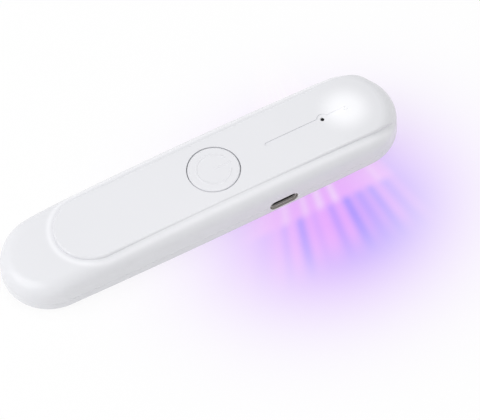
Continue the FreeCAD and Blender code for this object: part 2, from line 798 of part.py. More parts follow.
def make_lower_shell():
    shell = new_body("lower_shell")
    plan = new_sketch(shell, "lower_plan")
    add_outline(plan, ZERO)
    pad(shell, plan, dim.parting_height, "lower_block")
    round_edges(shell, dim.belly_radius, "belly", lambda edge: at_height(edge, ZERO))
    bevel = shell.newObject("PartDesign::Chamfer", "parting_line")
    base = document.getObject("belly")
    edges = enumerate(base.Shape.Edges, start=1)
    bevel.Base = (base, [f"Edge{number}" for number, edge in edges if at_height(edge, dim.parting_height)])
    bind(bevel, "Size", dim.parting_bevel)
    document.recompute()
    inner = new_sketch(shell, "lower_inner", height=dim.floor_thickness)
    add_outline(inner, dim.wall)
    pocket(shell, inner, dim.parting_height - dim.floor_thickness, "lower_hollow", upward=True)

    lip = new_sketch(shell, "lip_ring", height=dim.parting_height)
    add_outline(lip, dim.lip_thickness + dim.lip_clearance)
    add_outline(lip, dim.wall)
    pad(shell, lip, dim.lip_height, "lip")

    frame = new_sketch(shell, "window_frame", height=dim.floor_thickness)
    add_rounded_rectangle(frame, window_centre, ZERO, frame_length, frame_width, frame_corner)
    pad(shell, frame, led_board_low - dim.floor_thickness, "window_rib")
    sleeves = new_sketch(shell, "sleeve_circles", height=dim.floor_thickness)
    for x, y in case_screw_places:
        add_circle(sleeves, x, y, dim.sleeve_diameter / 2)
    pad(shell, sleeves, dim.parting_height - dim.floor_thickness, "screw_sleeves")
    ribs = new_sketch(shell, "battery_rib_plan", height=dim.floor_thickness)
    rib_length = battery_length - dim.battery_rib_margin * 2
    rib_place = battery_width / 2 + dim.battery_rib_gap + dim.battery_rib_thickness / 2
    for side in (1, -1):
        add_rectangle(ribs, battery_middle, rib_place * side, rib_length, dim.battery_rib_thickness)
    pad(shell, ribs, dim.battery_rib_height, "battery_ribs")

    room = new_sketch(shell, "window_room", height=seal_low)
    room_length = dim.window_length + dim.window_clearance * 2
    room_width = window_width + dim.window_clearance * 2
    room_corner = dim.window_corner + dim.window_clearance
    add_rounded_rectangle(room, window_centre, ZERO, room_length, room_width, room_corner)
    pocket(shell, room, led_board_low - seal_low, "window_seat", upward=True)
    mouth = new_sketch(shell, "window_mouth")
    add_rounded_rectangle(mouth, window_centre, ZERO, mouth_length, mouth_width, mouth_corner)
    pocket(shell, mouth, seal_low, "window_opening", upward=True)

    recess = dim.screw_head_diameter + dim.screw_recess_clearance * 2
    drill(shell, case_screw_places, recess, ZERO, dim.screw_recess_depth, "screw_recesses")
    hole = dim.screw_diameter + dim.screw_recess_clearance
    drill(shell, case_screw_places, hole, screw_seat, dim.parting_height - screw_seat, "screw_holes")
    port_cut(shell, "lower_port")
    return keep("lower_shell", shell)


def make_power_button():
    body = new_body("power_button")
    profile = new_sketch(body, "button_profile", plane="XZ_Plane")
    post = dim.button_post_diameter / 2
    inner = button_radius - dim.button_skirt
    roof = dim.body_height - dim.button_roof
    add_polygon(
        profile,
        [
            (ZERO, plunger_top),
            (post, plunger_top),
            (post, roof),
            (inner, roof),
            (inner, flange_low),
            (flange_radius, flange_low),
            (flange_radius, flange_high),
            (button_radius, flange_high),
            (button_radius, dim.body_height),
            (ZERO, dim.body_height),
        ],
    )
    revolve(body, profile, "button_turn")
    round_edges(
        body,
        dim.button_edge_round,
        "button_edge",
        lambda edge: at_height(edge, dim.body_height),
    )
    bind(body, "Placement.Base.x", button_position)
    return keep("power_button", body)


def make_switch():
    base = new_body("switch_base")
    square = new_sketch(base, "switch_square", height=board_high)
    add_rectangle(square, button_position, ZERO, dim.switch_side, dim.switch_side)
    pad(base, square, dim.switch_base_height, "switch_block")
    well = new_sketch(base, "switch_well", height=board_high + dim.switch_base_height)
    add_circle(well, button_position, ZERO, dim.switch_well_diameter / 2)
    pocket(base, well, dim.switch_well_depth, "switch_well_cut")
    keep("switch_base", base)

    cover = new_body("switch_cover")
    sheet_plan = new_sketch(cover, "cover_plan", height=board_high + dim.switch_base_height)
    side = dim.switch_side
    add_rounded_rectangle(sheet_plan, button_position, ZERO, side, side, dim.switch_cover_thickness * 2)
    add_circle(sheet_plan, button_position, ZERO, dim.switch_cover_hole / 2)
    pad(cover, sheet_plan, dim.switch_cover_thickness, "cover_sheet")
    keep("switch_cover", cover)

    well_floor = board_high + dim.switch_base_height - dim.switch_well_depth
    foot_high = board_high + dim.switch_base_height - dim.switch_gap
    foot_low = foot_high - dim.switch_foot_thickness
    plunger = new_body("switch_plunger")
    profile = new_sketch(plunger, "plunger_profile", plane="XZ_Plane")
    stem = dim.switch_plunger_diameter / 2
    foot = dim.switch_plunger_foot / 2
    add_polygon(
        profile,
        [
            (ZERO, foot_low),
            (foot, foot_low),
            (foot, foot_high),
            (stem, foot_high),
            (stem, plunger_top),
            (ZERO, plunger_top),
        ],
    )
    revolve(plunger, profile, "plunger_turn")
    bind(plunger, "Placement.Base.x", button_position)
    keep("switch_plunger", plunger)

    # A shallow snap dome that stands on the well's floor and carries the plunger's foot.
    dome = new_body("switch_dome")
    arch = new_sketch(dome, "dome_profile", plane="XZ_Plane")
    rim = foot - dim.switch_gap
    crown = foot_low - dim.switch_gap
    shoulder = stem / 2
    thick = dim.switch_dome_thickness
    add_polygon(
        arch,
        [
            (ZERO, crown - thick),
            (shoulder, crown - thick),
            (rim - thick, well_floor),
            (rim, well_floor),
            (shoulder, crown),
            (ZERO, crown),
        ],
    )
    revolve(dome, arch, "dome_turn")
    bind(dome, "Placement.Base.x", button_position)
    keep("switch_dome", dome)


def make_receptacle():
    metal = new_body("usb_shell")
    mouth = new_sketch(metal, "receptacle_mouth", plane="XZ_Plane", height=receptacle_rear)
    add_slot(mouth, port_position, dim.parting_height, dim.receptacle_width, dim.receptacle_height)
    pad(metal, mouth, dim.receptacle_length, "receptacle_block")
    inside = receptacle_rear + dim.receptacle_back
    hollow = new_sketch(metal, "receptacle_hollow", plane="XZ_Plane", height=inside)
    inner_width = dim.receptacle_width - dim.receptacle_sheet * 2
    inner_height = dim.receptacle_height - dim.receptacle_sheet * 2
    add_slot(hollow, port_position, dim.parting_height, inner_width, inner_height)
    pocket(metal, hollow, dim.receptacle_length, "receptacle_bore", upward=True)
    keep("usb_shell", metal)

    tongue = new_body("usb_tongue")
    tongue_length = dim.receptacle_length - dim.receptacle_back - dim.tongue_setback
    section = new_sketch(tongue, "tongue_section", plane="XZ_Plane", height=inside)
    thick = dim.tongue_thickness
    add_rounded_rectangle(section, port_position, dim.parting_height, dim.tongue_width, thick, thick / 4)
    pad(tongue, section, tongue_length, "tongue_pad")
    keep("usb_tongue", tongue)

    contacts = new_body("usb_contacts")
    first = port_position - dim.contact_row_width / 2
    pitch = dim.contact_row_width / (dim.contact_count - 1)
    bar = new_sketch(contacts, "contact_section", plane="XZ_Plane", height=inside)
    for side in (1, -1):
        level = dim.parting_height + (dim.tongue_thickness + dim.contact_thickness) / 2 * side
        add_rectangle(bar, first, level, dim.contact_width, dim.contact_thickness)
    one = pad(contacts, bar, tongue_length - dim.contact_setback, "contact_pad")
    repeat(contacts, one, "X_Axis", dim.contact_count, pitch, "contact_row")
    keep("usb_contacts", contacts)


def make_block(name, x, y, low, length, width, height, corner=None):
    body = new_body(name)
    sketch = new_sketch(body, f"{name}_plan", height=low)
    if corner is None:
        add_rectangle(sketch, x, y, length, width)
    else:
        add_rounded_rectangle(sketch, x, y, length, width, corner)
    pad(body, sketch, height, f"{name}_pad")
    return keep(name, body)


def make_main_board():
    length = board_head - board_tail
    middle = (board_head + board_tail) / 2
    board = make_block(
        "main_board", middle, ZERO, board_low, length, board_width, dim.board_thickness, dim.board_corner
    )
    hole = dim.board_screw_diameter + dim.screw_recess_clearance
    drill(board, board_screw_places, hole, board_low, dim.board_thickness, "board_screw_holes")


def make_board_parts():
    side = dim.control_chip_side
    chip = lamp_position - dim.control_chip_setback
    make_block("control_chip", chip, ZERO, board_high, side, side, dim.control_chip_height)
    side = dim.charge_chip_side
    chip = lamp_position - dim.charge_chip_setback
    make_block("charge_chip", chip, ZERO, board_high, side, side, dim.charge_chip_height)
    capacitors = make_block(
        "board_capacitors",
        board_post_tail + dim.board_post_diameter / 2 + dim.capacitor_gap,
        board_width / 2 - dim.capacitor_margin,
        board_high,
        dim.capacitor_width,
        dim.capacitor_length,
        dim.capacitor_height,
    )
    pitch = dim.capacitor_row_length / (dim.capacitor_count - 1)
    repeat(capacitors, capacitors.Tip, "X_Axis", dim.capacitor_count, pitch, "capacitor_row")
    length = dim.board_led_length
    width = dim.board_led_width
    for name, where in (("status_led", lamp_position), ("charge_led", pinhole_position)):
        make_block(name, where, ZERO, board_high, length, width, dim.board_led_height)


def make_light_rod(name, x, diameter, top):
    # A rod that stands on a board lamp and carries its light up to the panel.
    body = new_body(name)
    profile = new_sketch(body, f"{name}_profile", plane="XZ_Plane")
    rod = diameter / 2
    collar = dim.lamp_collar_diameter / 2
    low = board_high + dim.board_led_height
    fall = lamp_position * lamp_position / (dim.crown_radius * 2)
    collar_high = ceiling - fall - dim.lamp_collar_gap
    collar_low = collar_high - dim.lamp_collar_thickness
    add_polygon(
        profile,
        [
            (ZERO, low),
            (rod, low),
            (rod, collar_low),
            (collar, collar_low),
            (collar, collar_high),
            (rod, collar_high),
            (rod, top),
            (ZERO, top),
        ],
    )
    revolve(body, profile, f"{name}_turn")
    bind(body, "Placement.Base.x", x)
    keep(name, body)


def make_light_rods():
    # The clear rod ends level with the strip's floor, the smoked one just inside the pinhole.
    make_light_rod("light_pipe", lamp_position, dim.lamp_diameter, strip_floor)
    smoked = dim.pinhole_diameter - dim.lamp_clearance * 2
    make_light_rod("charge_pipe", pinhole_position, smoked, strip_floor - dim.pinhole_rod_setback)


def make_window():
    make_block(
        "uv_window",
        window_centre,
        ZERO,
        window_low,
        dim.window_length,
        window_width,
        dim.window_thickness,
        dim.window_corner,
    )
    seal = new_body("window_seal")
    ring = new_sketch(seal, "seal_ring", height=seal_low)
    add_rounded_rectangle(ring, window_centre, ZERO, dim.window_length, window_width, dim.window_corner)
    add_rounded_rectangle(ring, window_centre, ZERO, mouth_length, mouth_width, mouth_corner)
    pad(seal, ring, dim.seal_thickness, "seal_pad")
    keep("window_seal", seal)

    # The bright tray has one flared opening for each lamp.
    reflector = make_block(
        "reflector",
        window_centre,
        ZERO,
        window_high,
        dim.window_length,
        window_width,
        dim.reflector_height,
        dim.window_corner,
    )
    openings = new_sketch(reflector, "reflector_openings", height=led_board_low)
    add_rectangle(openings, first_led, ZERO, dim.reflector_hole, dim.reflector_hole)
    flare = pocket(reflector, openings, dim.reflector_height, "reflector_flare")
    bind(flare, "TaperAngle", dim.reflector_flare)
    document.recompute()
    repeat(reflector, flare, "X_Axis", dim.led_count, led_pitch, "reflector_row")


def make_led_board():
    length = frame_length - dim.window_clearance * 2
    width = frame_width - dim.window_clearance * 2
    make_block(
        "led_board", window_centre, ZERO, led_board_low, length, width, dim.led_board_thickness, frame_corner
    )
    base_low = led_board_low - dim.led_base_height
    side = dim.led_side
    bases = make_block("uv_led_bases", first_led, ZERO, base_low, side, side, dim.led_base_height)
    repeat(bases, bases.Tip, "X_Axis", dim.led_count, led_pitch, "led_base_row")

    # Each lens is a shallow cap of a ball that faces down.
    lenses = new_body("uv_led_lenses")
    profile = new_sketch(lenses, "lens_profile", plane="XZ_Plane")
    half = dim.led_lens_diameter / 2
    tall = dim.led_lens_height
    ball = (half * half + tall * tall) / (tall * 2)
    centre = base_low - tall + ball
    reach = math.asin(half.number / ball.number)
    top = add_line(profile, (half, base_low), (ZERO, base_low))
    axis = add_line(profile, (ZERO, base_low), (ZERO, base_low - tall))
    cap = add_arc(profile, ZERO, centre, ball, -math.pi / 2, reach - math.pi / 2)
    join(profile, "Coincident", top, 2, axis, 1)
    join(profile, "Coincident", axis, 2, cap, 1)
    join(profile, "Coincident", cap, 2, top, 1)
    place(profile, top, 1, half, base_low)
    place(profile, top, 2, ZERO, base_low)
    place(profile, cap, 3, ZERO, centre)
    profile.addConstraint(Sketcher.Constraint("Vertical", axis))
    one = revolve(lenses, profile, "lens_turn")
    repeat(lenses, one, "X_Axis", dim.led_count, led_pitch, "lens_row")
    bind(lenses, "Placement.Base.x", first_led)
    keep("uv_led_lenses", lenses)


def make_board_spacers():
    gap = board_low - led_board_high
    rows = dim.header_pin_count
    where = frame_head - dim.header_setback
    block_width = dim.header_row_width + dim.header_end_margin * 2
    block = make_block("header_block", where, ZERO, led_board_high, dim.header_length, block_width, gap)
    first_pin = dim.header_row_width / -2
    pitch = dim.header_row_width / (rows - 1)
    hole = dim.header_pin_side + dim.header_pin_clearance * 2
    holes = new_sketch(block, "header_holes", height=led_board_high)
    add_rectangle(holes, where, first_pin, hole, hole)
    bore = pocket(block, holes, gap, "header_bore", upward=True)
    repeat(block, bore, "Y_Axis", rows, pitch, "header_bores")
    side = dim.header_pin_side
    pins = make_block("header_pins", where, first_pin, led_board_high, side, side, gap)
    repeat(pins, pins.Tip, "Y_Axis", rows, pitch, "header_pin_row")
    side = dim.foam_side
    first_foam = window_centre - dim.window_length / 2 + dim.foam_end_margin
    pitch = (dim.window_length - dim.foam_end_margin * 2) / dim.foam_count
    foam = make_block("pressure_pads", first_foam, ZERO, led_board_high, side, side, gap)
    repeat(foam, foam.Tip, "X_Axis", dim.foam_count, pitch, "foam_row")


def make_battery():
    make_block(
        "battery_pad",
        battery_middle,
        ZERO,
        dim.floor_thickness,
        battery_length - dim.battery_corner * 2,
        battery_width - dim.battery_corner * 2,
        dim.battery_pad_thickness,
        dim.battery_round,
    )
    cell = make_block(
        "battery_cell",
        battery_middle,
        ZERO,
        battery_low,
        battery_length,
        battery_width,
        dim.battery_height,
        dim.battery_corner,
    )
    battery_top = battery_low + dim.battery_height
    round_edges(
        cell,
        dim.battery_round,
        "battery_edges",
        lambda edge: at_height(edge, battery_low) or at_height(edge, battery_top),
    )
    board_middle = battery_head + dim.guard_board_thickness / 2
    board_foot = battery_low + (dim.battery_height - dim.guard_board_height) / 2
    make_block(
        "battery_guard_board",
        board_middle,
        ZERO,
        board_foot,
        dim.guard_board_thickness,
        battery_width - dim.guard_board_margin * 2,
        dim.guard_board_height,
    )

    # Two wires leave the guard board and turn up to the underside of the main board.
    leads = new_body("battery_leads")
    route = new_sketch(leads, "lead_route", plane="XZ_Plane", height=dim.lead_pair_width / 2)
    leave = battery_head + dim.guard_board_thickness
    bend = dim.lead_bend
    reach = frame_tail - dim.lead_frame_gap
    run = add_line(route, (leave, dim.lead_height), (reach - bend, dim.lead_height))
    turn = add_arc(route, reach - bend, dim.lead_height + bend, bend, -math.pi / 2, 0)
    rise = add_line(route, (reach, dim.lead_height + bend), (reach, board_low))
    join(route, "Tangent", run, 2, turn, 1)
    join(route, "Tangent", turn, 2, rise, 1)
    place(route, run, 1, leave, dim.lead_height)
    place(route, turn, 3, reach - bend, dim.lead_height + bend)
    dimension(route, "Radius", turn, size=bend)
    dimension(route, "DistanceY", -1, 1, rise, 2, size=board_low)
    section = new_sketch(leads, "lead_section", plane="YZ_Plane", height=leave)
    add_circle(section, -dim.lead_pair_width / 2, dim.lead_height, dim.lead_diameter / 2)
    wire = leads.newObject("PartDesign::AdditivePipe", "lead_wire")
    wire.Profile = section
    wire.Spine = route
    document.recompute()
    repeat(leads, wire, "Y_Axis", as_size(2), dim.lead_pair_width, "lead_pair")
    keep("battery_leads", leads)


def make_screws(name, places, seat, diameter, length, head_diameter, head_height):
    # Round-headed screws driven from below, with a cross in each head.
    body = new_body(name)
    low = seat - head_height
    heads = new_sketch(body, f"{name}_heads", height=low)
    for x, y in places:
        add_circle(heads, x, y, head_diameter / 2)
    pad(body, heads, head_height, f"{name}_head_pad")
    round_edges(body, head_height / 2, f"{name}_head_round", lambda edge: at_height(edge, low))
    shanks = new_sketch(body, f"{name}_shanks", height=seat)
    for x, y in places:
        add_circle(shanks, x, y, diameter / 2)
    pad(body, shanks, length, f"{name}_shank_pad")
    drive = new_sketch(body, f"{name}_drive", height=low)
    for x, y in places:
        add_cross(drive, x, y, dim.screw_drive_width / 2, dim.screw_drive_slot / 2)
    pocket(body, drive, dim.screw_drive_depth, f"{name}_drive_cut", upward=True)
    keep(name, body)


def add_cross(sketch, x, y, reach, half):
    quarter = [(reach, -half), (reach, half), (half, half)]
    corners = []
    for _ in range(4):
        corners += [(x + across, y + along) for across, along in quarter]
        quarter = [(-along, across) for across, along in quarter]
    add_polygon(sketch, corners)


def make_fasteners():
    make_screws(
        "case_screws",
        case_screw_places,
        screw_seat,
        dim.screw_diameter,
        dim.screw_length,
        dim.screw_head_diameter,
        dim.screw_head_height,
    )
    make_screws(
        "board_screws",
        board_screw_places,
        board_low,
        dim.board_screw_diameter,
        dim.board_screw_length,
        dim.board_screw_head_diameter,
        dim.board_screw_head_height,
    )


make_upper_shell()
make_lower_shell()
make_power_button()
make_switch()
make_receptacle()
make_main_board()
make_board_parts()
make_light_rods()
make_window()
make_led_board()
make_board_spacers()
make_battery()
make_fasteners()

failed = [item.Label for item in document.Objects if "Invalid" in item.State or "Error" in item.State]
for name, item in nodes.items():
    if item.Shape.isNull() or not item.Shape.isValid():
        failed.append(name)
if failed:
    raise RuntimeError(f"these failed to build: {failed}")

os.makedirs("parts", exist_ok=True)
for name, item in nodes.items():
    item.Shape.exportStep(f"parts/{name}.step")
    print(name, len(item.Shape.Solids), round(item.Shape.Volume, 2), item.Shape.BoundBox)
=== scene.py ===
import math

import bpy
import bmesh
from mathutils import Matrix, Vector


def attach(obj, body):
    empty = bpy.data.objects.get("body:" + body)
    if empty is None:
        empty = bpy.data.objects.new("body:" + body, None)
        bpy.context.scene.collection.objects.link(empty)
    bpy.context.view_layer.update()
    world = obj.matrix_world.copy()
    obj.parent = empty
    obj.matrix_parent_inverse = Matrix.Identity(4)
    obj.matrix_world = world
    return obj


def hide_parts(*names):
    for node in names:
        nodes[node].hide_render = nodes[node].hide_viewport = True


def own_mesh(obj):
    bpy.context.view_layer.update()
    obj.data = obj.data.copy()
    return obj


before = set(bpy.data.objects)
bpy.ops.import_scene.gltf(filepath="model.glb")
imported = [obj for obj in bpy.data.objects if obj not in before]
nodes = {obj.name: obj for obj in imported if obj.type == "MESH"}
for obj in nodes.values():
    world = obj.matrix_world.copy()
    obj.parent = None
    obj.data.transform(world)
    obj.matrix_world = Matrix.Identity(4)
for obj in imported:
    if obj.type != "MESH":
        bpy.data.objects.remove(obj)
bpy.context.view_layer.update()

mm = 0.001
black = (0, 0, 0, 1)
white = (1, 1, 1, 1)


# camera at the photograph's angle
photoView = {
    "right": (0.8826, -0.4683, -0.0430),
    "up": (0.4124, 0.7268, 0.5495),
    "back": (-0.2260, -0.5027, 0.8344),
    "aimRight": 12.03 * mm,
    "aimUp": -7.30 * mm,
    "aimHeight": 8.0 * mm,
    "distance": 1486.5 * mm,
    "lens": 374.6,
    "sensor": 36.0,
    "clip": (0.05, 20.0),
}


def makeCamera(view):
    right, up, back = (Vector(view[key]).normalized() for key in ("right", "up", "back"))
    aim = Vector((0, 0, view["aimHeight"])) + right * view["aimRight"] + up * view["aimUp"]
    data = bpy.data.cameras.new("photoCamera")
    data.sensor_fit = "HORIZONTAL"
    data.sensor_width = view["sensor"]
    data.lens = view["lens"]
    data.clip_start, data.clip_end = view["clip"]
    camera = bpy.data.objects.new("photoCamera", data)
    turn = Matrix((right, up, back)).transposed().to_4x4()
    camera.matrix_world = Matrix.Translation(aim + back * view["distance"]) @ turn
    bpy.context.scene.collection.objects.link(camera)
    bpy.context.scene.camera = camera


makeCamera(photoView)
print("camera placed")


# helpers for shader trees
def addNode(tree, kind, **settings):
    node = tree.nodes.new(kind)
    for key, value in settings.items():
        setattr(node, key, value)
    return node


def feed(tree, socket, value):
    if isinstance(value, bpy.types.NodeSocket):
        tree.links.new(value, socket)
    else:
        socket.default_value = value


def calc(tree, operation, first, second=0.0, clamp=False):
    node = addNode(tree, "ShaderNodeMath", operation=operation, use_clamp=clamp)
    feed(tree, node.inputs[0], first)
    feed(tree, node.inputs[1], second)
    return node.outputs[0]


def squareSum(tree, first, second):
    return calc(tree, "ADD", calc(tree, "MULTIPLY", first, first), calc(tree, "MULTIPLY", second, second))


def lengthOf(tree, first, second):
    return calc(tree, "SQRT", squareSum(tree, first, second))


def halving(tree, square):  # 1 at 0, a half at 1
    return calc(tree, "POWER", 0.5, square)


def fade(tree, value, low, high):  # 0 at low, 1 at high, eased at both ends
    node = addNode(tree, "ShaderNodeMapRange", interpolation_type="SMOOTHERSTEP")
    feed(tree, node.inputs["Value"], value)
    feed(tree, node.inputs["From Min"], low)
    feed(tree, node.inputs["From Max"], high)
    return node.outputs["Result"]


def mixColour(tree, factor, first, second):
    node = addNode(tree, "ShaderNodeMix", data_type="RGBA")
    feed(tree, node.inputs["Factor"], factor)
    feed(tree, node.inputs["A"], first)
    feed(tree, node.inputs["B"], second)
    return node.outputs["Result"]


def noiseOf(tree, vector, scale, detail=2.0):
    node = addNode(tree, "ShaderNodeTexNoise")
    feed(tree, node.inputs["Vector"], vector)
    feed(tree, node.inputs["Scale"], scale)
    node.inputs["Detail"].default_value = detail
    return node.outputs["Fac"]


def placeOf(tree):
    return addNode(tree, "ShaderNodeTexCoord").outputs["Object"]


def axesOf(tree):
    axes = addNode(tree, "ShaderNodeSeparateXYZ")
    feed(tree, axes.inputs["Vector"], placeOf(tree))
    return axes.outputs


def seenBy(tree, path):  # what the camera, mirrors and glass see
    mirrored = calc(tree, "MAXIMUM", path["Is Glossy Ray"], path["Is Transmission Ray"])
    return calc(tree, "MAXIMUM", path["Is Camera Ray"], mirrored)


def mixShaders(tree, factor, first, second):
    blend = addNode(tree, "ShaderNodeMixShader")
    feed(tree, blend.inputs["Fac"], factor)
    tree.links.new(first, blend.inputs[1])
    tree.links.new(second, blend.inputs[2])
    return blend.outputs["Shader"]


def newGroup(name, inputs, outputs):
    tree = bpy.data.node_groups.new(name, "ShaderNodeTree")
    for label, value in inputs.items():
        kind = "NodeSocketColor" if isinstance(value, tuple) else "NodeSocketFloat"
        tree.interface.new_socket(name=label, in_out="INPUT", socket_type=kind).default_value = value
    for label in outputs:
        kind = "NodeSocketColor" if label == "Color" else "NodeSocketFloat"
        tree.interface.new_socket(name=label, in_out="OUTPUT", socket_type=kind)
    return tree, addNode(tree, "NodeGroupInput").outputs, addNode(tree, "NodeGroupOutput").inputs


def useGroup(tree, group, values):
    node = addNode(tree, "ShaderNodeGroup", node_tree=group)
    for label, value in values.items():
        node.inputs[label].default_value = value
    return node.outputs


def swayed(tree, value, pattern, spread):  # value, more or less by half the spread
    swing = calc(tree, "MULTIPLY", calc(tree, "SUBTRACT", pattern, 0.5), spread)
    return calc(tree, "ADD", value, swing, clamp=True)


# moulded skin: slow tone drift, satin variation and a shallow peel
mouldedDefaults = {
    "Color": (0.8, 0.8, 0.8, 1),
    "Shade": (0.7, 0.7, 0.7, 1),
    "Roughness": 0.3,
    "Spread": 0.05,
    "Drift": 60.0,
    "Peel": 1200.0,
}


def makeMouldedSkin(defaults):
    tree, given, out = newGroup("mouldedSkin", defaults, ["Color", "Roughness", "Height"])
    place = placeOf(tree)
    drift = noiseOf(tree, place, given["Drift"], detail=3.0)
    feed(tree, out["Color"], mixColour(tree, drift, given["Color"], given["Shade"]))
    feed(tree, out["Roughness"], swayed(tree, given["Roughness"], drift, given["Spread"]))
    feed(tree, out["Height"], noiseOf(tree, place, given["Peel"]))
    return tree


# rolled metal: long fine lines along one axis
rolledDefaults = {
    "Color": (0.6, 0.6, 0.6, 1),
    "Shade": (0.4, 0.4, 0.4, 1),
    "Roughness": 0.3,
    "Spread": 0.15,
    "Across": 9000.0,
    "Along": 500.0,
    "Cloud": 700.0,
}


def makeRolledMetal(defaults):
    tree, given, out = newGroup("rolledMetal", defaults, ["Color", "Roughness", "Height"])
    place = placeOf(tree)
    stretch = addNode(tree, "ShaderNodeCombineXYZ")
    feed(tree, stretch.inputs["X"], given["Along"])
    feed(tree, stretch.inputs["Y"], given["Across"])
    feed(tree, stretch.inputs["Z"], given["Across"])
    scaled = addNode(tree, "ShaderNodeVectorMath", operation="MULTIPLY")
    feed(tree, scaled.inputs[0], place)
    feed(tree, scaled.inputs[1], stretch.outputs["Vector"])
    lines = noiseOf(tree, scaled.outputs["Vector"], 1.0, detail=4.0)
    worn = calc(tree, "MULTIPLY", lines, noiseOf(tree, place, given["Cloud"]))
    feed(tree, out["Color"], mixColour(tree, worn, given["Color"], given["Shade"]))
    feed(tree, out["Roughness"], swayed(tree, given["Roughness"], lines, given["Spread"]))
    feed(tree, out["Height"], lines)
    return tree


# circuit board: resist over tracks, with a faint weave
boardDefaults = {
    "Color": (0.05, 0.2, 0.1, 1),
    "Track": (0.1, 0.3, 0.15, 1),
    "Roughness": 0.35,
    "Width": 900.0,
    "Gap": 0.035,
    "Softness": 0.2,
    "Weave": 4000.0,
    "Spread": 0.1,
}


def makeBoardFace(defaults):
    tree, given, out = newGroup("boardFace", defaults, ["Color", "Roughness", "Height"])
    place = placeOf(tree)
    bricks = addNode(tree, "ShaderNodeTexBrick")
    feed(tree, bricks.inputs["Vector"], place)
    feed(tree, bricks.inputs["Scale"], given["Width"])
    feed(tree, bricks.inputs["Mortar Size"], given["Gap"])
    feed(tree, bricks.inputs["Mortar Smooth"], given["Softness"])
    weave = noiseOf(tree, place, given["Weave"])
    track = calc(tree, "SUBTRACT", 1.0, bricks.outputs["Fac"])
    shown = calc(tree, "MULTIPLY", track, weave)
    feed(tree, out["Color"], mixColour(tree, shown, given["Color"], given["Track"]))
    satin = calc(tree, "MULTIPLY", weave, given["Spread"])
    feed(tree, out["Roughness"], calc(tree, "ADD", given["Roughness"], satin))
    feed(tree, out["Height"], track)
    return tree


# soft round light: 1 inside the inner radius, 0 past the outer one
haloDefaults = {"Centre X": 0.0, "Centre Y": 0.0, "Inner": 1.0 * mm, "Outer": 10.0 * mm}


def makeLampHalo(defaults):
    tree, given, out = newGroup("lampHalo", defaults, ["Mask"])
    axes = axesOf(tree)
    across = calc(tree, "SUBTRACT", axes["X"], given["Centre X"])
    along = calc(tree, "SUBTRACT", axes["Y"], given["Centre Y"])
    feed(tree, out["Mask"], fade(tree, lengthOf(tree, across, along), given["Outer"], given["Inner"]))
    return tree


# soft line along a tongue that draws in at the head, for painted crease shade and highlight:
# 1 on the line, a half at the half width, gone past the end
creaseDefaults = {
    "Centre X": 0.0,
    "Radius": 10.0 * mm,
    "Nose X": 40.0 * mm,
    "Nose Radius": 20.0 * mm,
    "Half Width": 0.5 * mm,
    "Fade X": 40.0 * mm,
    "End X": 50.0 * mm,
}


def makeCreaseLine(defaults):
    tree, given, out = newGroup("creaseLine", defaults, ["Mask"])
    axes = axesOf(tree)
    behind = calc(tree, "MINIMUM", calc(tree, "SUBTRACT", axes["X"], given["Centre X"]), 0.0)
    nose = calc(tree, "MAXIMUM", calc(tree, "SUBTRACT", axes["X"], given["Nose X"]), 0.0)
    noseWidth = calc(tree, "MULTIPLY", given["Nose Radius"], 2.0)
    drawn = calc(tree, "DIVIDE", calc(tree, "MULTIPLY", nose, nose), noseWidth)
    away = calc(tree, "ADD", lengthOf(tree, behind, axes["Y"]), drawn)
    share = calc(tree, "DIVIDE", calc(tree, "SUBTRACT", away, given["Radius"]), given["Half Width"])
    line = halving(tree, calc(tree, "MULTIPLY", share, share))
    ending = fade(tree, axes["X"], given["End X"], given["Fade X"])
    feed(tree, out["Mask"], calc(tree, "MULTIPLY", line, ending))
    return tree


# where shade is painted on the walls of the oval port: 1 inside the opening, 0 on the skin round it
portDefaults = {
    "Centre X": 0.0,
    "Centre Z": 0.0,
    "Half Length": 3.0 * mm,
    "Radius": 1.7 * mm,
    "Inner Lip": 0.02 * mm,
    "Outer Lip": 0.12 * mm,
}


def makePortShade(defaults):
    tree, given, out = newGroup("portShade", defaults, ["Mask"])
    axes = axesOf(tree)
    aside = calc(tree, "ABSOLUTE", calc(tree, "SUBTRACT", axes["X"], given["Centre X"]))
    beyond = calc(tree, "MAXIMUM", calc(tree, "SUBTRACT", aside, given["Half Length"]), 0.0)
    above = calc(tree, "SUBTRACT", axes["Z"], given["Centre Z"])
    outside = calc(tree, "ADD", given["Radius"], given["Outer Lip"])
    inside = calc(tree, "ADD", given["Radius"], given["Inner Lip"])
    wall = fade(tree, lengthOf(tree, beyond, above), outside, inside)
    nearSide = calc(tree, "LESS_THAN", axes["Y"], 0.0)
    feed(tree, out["Mask"], calc(tree, "MULTIPLY", wall, nearSide))
    return tree


mouldedSkin = makeMouldedSkin(mouldedDefaults)
rolledMetal = makeRolledMetal(rolledDefaults)
boardFace = makeBoardFace(boardDefaults)
lampHalo = makeLampHalo(haloDefaults)
creaseLine = makeCreaseLine(creaseDefaults)
portShade = makePortShade(portDefaults)
print("shared finishes ready")


def startMaterial(name):
    material = bpy.data.materials.new(name)
    material.use_nodes = True
    tree = material.node_tree
    tree.nodes.clear()
    shader = addNode(tree, "ShaderNodeBsdfPrincipled")
    output = addNode(tree, "ShaderNodeOutputMaterial")
    tree.links.new(shader.outputs["BSDF"], output.inputs["Surface"])
    return material, tree, shader.inputs


plainLook = {"metallic": 0.0, "ior": 1.5}  # for looks that don't say


